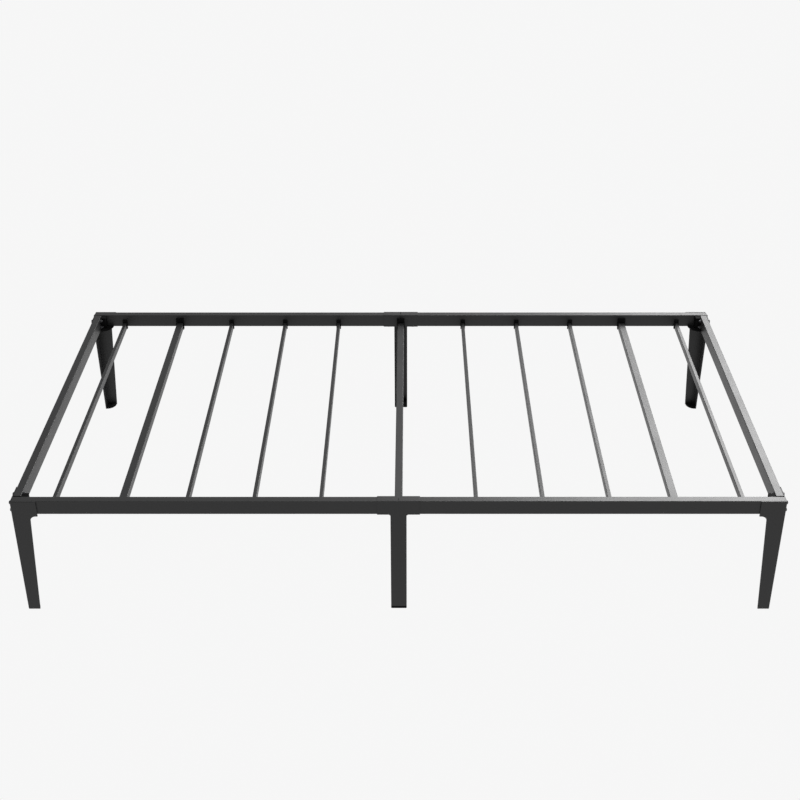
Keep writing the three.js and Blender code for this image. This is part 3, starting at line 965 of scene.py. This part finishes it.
def cut_or_join(tree, operation, first, second):
    node = add_node(tree, "GeometryNodeMeshBoolean", {"operation": operation, "solver": "EXACT"})
    slot = "Mesh 1" if operation == "DIFFERENCE" else "Mesh 2"
    tree.links.new(first, node.inputs[slot])
    tree.links.new(second, node.inputs["Mesh 2"])
    return node.outputs[0]


# %% [markdown]
# A bolt's dome rises in three steps, each a share of the head's height, and each shrinks
# the top face a little more than the last. A nut is a hexagon with its corners turned off,
# which is what a lathe leaves, and the thread of its bolt stands out of it.

# %% The bolt tree and the nut tree
FASTENER_SIZES = ("Radius", "Height", "Shank", "Reach")
HEXAGON, SHANK_SIDES = 6, 24
DOME_WALL = 0.44  # shares of the head's height
DOME_STEPS = ((0.26, 0.95), (0.18, 0.88), (0.12, 0.78))
NUT_WALL, NUT_STEP = 0.8, (0.2, 0.88)
THREAD_STEP = (0.3, 0.8)
SOCKET = 0.5  # its share of the head, across and in depth


def make_fastener_tree(name, is_nut):
    tree, given, (radius, height, shank, reach) = new_tree(name, FASTENER_SIZES)
    if is_nut:
        blank = turned(tree, HEXAGON, radius, height, 0.0)
        rounding = turned(tree, ROUND, radius, NUT_WALL * height, 0.0,
                          [(NUT_STEP[0] * height, NUT_STEP[1])])
        head = cut_or_join(tree, "INTERSECT", blank, rounding)
        body = turned(tree, SHANK_SIDES, shank, height + reach, 0.0,
                      [(THREAD_STEP[0] * shank, THREAD_STEP[1])])
    else:
        crown = [(rise * height, shrink) for rise, shrink in DOME_STEPS]
        dome = turned(tree, ROUND, radius, DOME_WALL * height, 0.0, crown)
        socket = turned(tree, HEXAGON, SOCKET * radius, height, SOCKET * height)
        head = cut_or_join(tree, "DIFFERENCE", dome, socket)
        body = turned(tree, SHANK_SIDES, shank, reach, -1.0 * reach)
    return end_tree(tree, given, together(tree, head, body))


BOLT_TREE = make_fastener_tree("bolt", is_nut=False)
NUT_TREE = make_fastener_tree("nut", is_nut=True)
print("fastener trees:", len(BOLT_TREE.nodes), "and", len(NUT_TREE.nodes), "nodes")

# %% [markdown]
# A tree stands its shape along +Z, and the turn points it outwards. The nuts keep two of
# their flats upright beside the corner block, as a spanner would leave them.

# %% Set the bolts and nuts
BOLT_DROPS = (9 * MM, 31 * MM)
RAIL_BOLT = 46 * MM  # from the leg's side face to the bolts of the end rail
SIDE_BOLT = 11 * MM
MID_BOLT = 38 * MM  # from the middle of the frame
MID_REACH = 6 * MM
THREAD_END = 2 * MM  # how far the thread stands out of its nut
BOLT = {"Radius": 5.0 * MM, "Height": 4.2 * MM, "Shank": 3.0 * MM, "Material": BLACK_OXIDE}
NUT = {"Radius": 5.7 * MM, "Height": 5.0 * MM, "Shank": 3.0 * MM, "Material": BLACK_OXIDE}
OUTWARDS = {"left": (0.0, math.radians(-90), 0.0), "right": (0.0, math.radians(90), 0.0)}
DOWNWARDS = (math.pi, 0.0, 0.0)


def rows_of(x, offsets):
    """Points at one x, at each offset from both side faces, at both drops."""
    return [(x, sign * (LEG_CORNER.y - offset), RAIL_TOP - drop)
            for sign in (-1, 1) for offset in offsets for drop in BOLT_DROPS]


for side, sign in zip(SIDES, (-1, 1)):
    heads = rows_of(sign * LEG_CORNER.x, (RAIL_BOLT, SIDE_BOLT))
    bolts = run_tree(f"bolts_{side}", BOLT_TREE, mesh_from(heads),
                     {**BOLT, "Reach": LEG_CORNER.x - END_INNER, "Turn": OUTWARDS[side]})
    finish_piece(bolts, BLACK_OXIDE)
    ends = rows_of(sign * END_INNER, (RAIL_BOLT,))
    inwards = OUTWARDS["right" if side == "left" else "left"]
    nuts = run_tree(f"nuts_{side}", NUT_TREE, mesh_from(ends),
                    {**NUT, "Reach": THREAD_END, "Turn": inwards})
    finish_piece(nuts, BLACK_OXIDE)

mid_heads = [(x, y, SLEEVE_FOOT) for x in (-MID_BOLT, MID_BOLT)
             for y in (sleeve_middle.y, -sleeve_middle.y)]
mid_bolts = run_tree("bolts_mid", BOLT_TREE, mesh_from(mid_heads),
                     {**BOLT, "Reach": MID_REACH, "Turn": DOWNWARDS})
finish_piece(mid_bolts, BLACK_OXIDE)

# %% [markdown]
# ## The studio
#
# The bed stands on a plain pale floor that is evenly lit, so the floor glows a little by
# itself instead of being lit unevenly by lamps.

# %% Floor
FLOOR_GREY = (0.925, 0.925, 0.925, 1.0)
FLOOR_REACH = 14
FLOOR_DROP = 0.2 * MM  # keeps the floor's face clear of the feet


def make_glow(name, colour):
    material = bpy.data.materials.new(name)
    material.use_nodes = True
    material.node_tree.nodes.clear()
    glow = add_node(material.node_tree, "ShaderNodeEmission", values={"Color": colour})
    add_node(material.node_tree, "ShaderNodeOutputMaterial", values={"Surface": glow.outputs[0]})
    return material


PALE_FLOOR = make_glow("pale_floor", FLOOR_GREY)
floor = block((-FLOOR_REACH, -FLOOR_REACH, -0.02), (FLOOR_REACH, FLOOR_REACH, -FLOOR_DROP), "floor")
floor.data.materials.append(PALE_FLOOR)

# %% [markdown]
# A floor ends somewhere, and a low view looks past its edge. A tall room with the floor's
# own glow stands just inside that edge. Only the camera sees it: it lights nothing, throws
# no shadow and is mirrored nowhere, so the paint looks the same with it or without.

# %% Backdrop
BACKDROP_REACH = FLOOR_REACH - 0.1
BACKDROP_TOP = 30
backdrop = block((-BACKDROP_REACH, -BACKDROP_REACH, -0.01),
                 (BACKDROP_REACH, BACKDROP_REACH, BACKDROP_TOP), "backdrop")
backdrop.data.materials.append(PALE_FLOOR)
for kind_of_ray in ("diffuse", "glossy", "transmission", "volume_scatter", "shadow"):
    setattr(backdrop, f"visible_{kind_of_ray}", False)

# %% [markdown]
# Black gloss paint is drawn by what it mirrors. A wide softbox behind the bed and to its
# right puts a bright sheen on every upward face, strongest at the right-hand end, and the
# grey room leaves the faces towards the viewer dark.

# %% Softboxes and room
def softbox(name, place, target, size, power):
    data = bpy.data.lights.new(name, "AREA")
    data.shape = "RECTANGLE"
    data.size, data.size_y = size
    data.energy = power
    lamp = bpy.data.objects.new(name, data)
    bpy.context.scene.collection.objects.link(lamp)
    lamp.location = place
    aim = Vector(target) - Vector(place)
    lamp.rotation_euler = aim.to_track_quat("-Z", "Y").to_euler()
    lamp.visible_camera = False
    return lamp


softbox("overhead", place=(0.6, -1.2, 4.0), target=(0, 0, 0), size=(5, 4), power=110)
softbox("back_right", place=(2.8, 3.6, 3.8), target=(0.5, 0, 0.3), size=(3.6, 2.8), power=520)
ROOM_GREY = (0.5, 0.5, 0.5, 1.0)
world = bpy.data.worlds.new("studio")
world.use_nodes = True
world.node_tree.nodes["Background"].inputs["Color"].default_value = ROOM_GREY
bpy.context.scene.world = world

# %% [markdown]
# The camera stands at eye height in front of the bed and looks down on it. The small
# shift only frames the bed; the Standard view keeps the black paint black.

# %% Camera
camera_data = bpy.data.cameras.new("camera")
camera_data.lens = 57.872
camera_data.shift_x = -0.01134
camera_data.shift_y = -0.09005
camera = bpy.data.objects.new("camera", camera_data)
bpy.context.scene.collection.objects.link(camera)
camera.location = (0.0267, -3.1247, 2.2749)
camera.rotation_euler = (math.radians(61.327), 0, 0)
bpy.context.scene.camera = camera
bpy.context.scene.view_settings.view_transform = "Standard"

# %% [markdown]
# Every CAD node should be replaced by now. The script lists any that still shows.

# %% List the CAD nodes still showing
bare = [name for name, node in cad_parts.items() if not node.hide_render]
print("CAD nodes still showing:", bare)
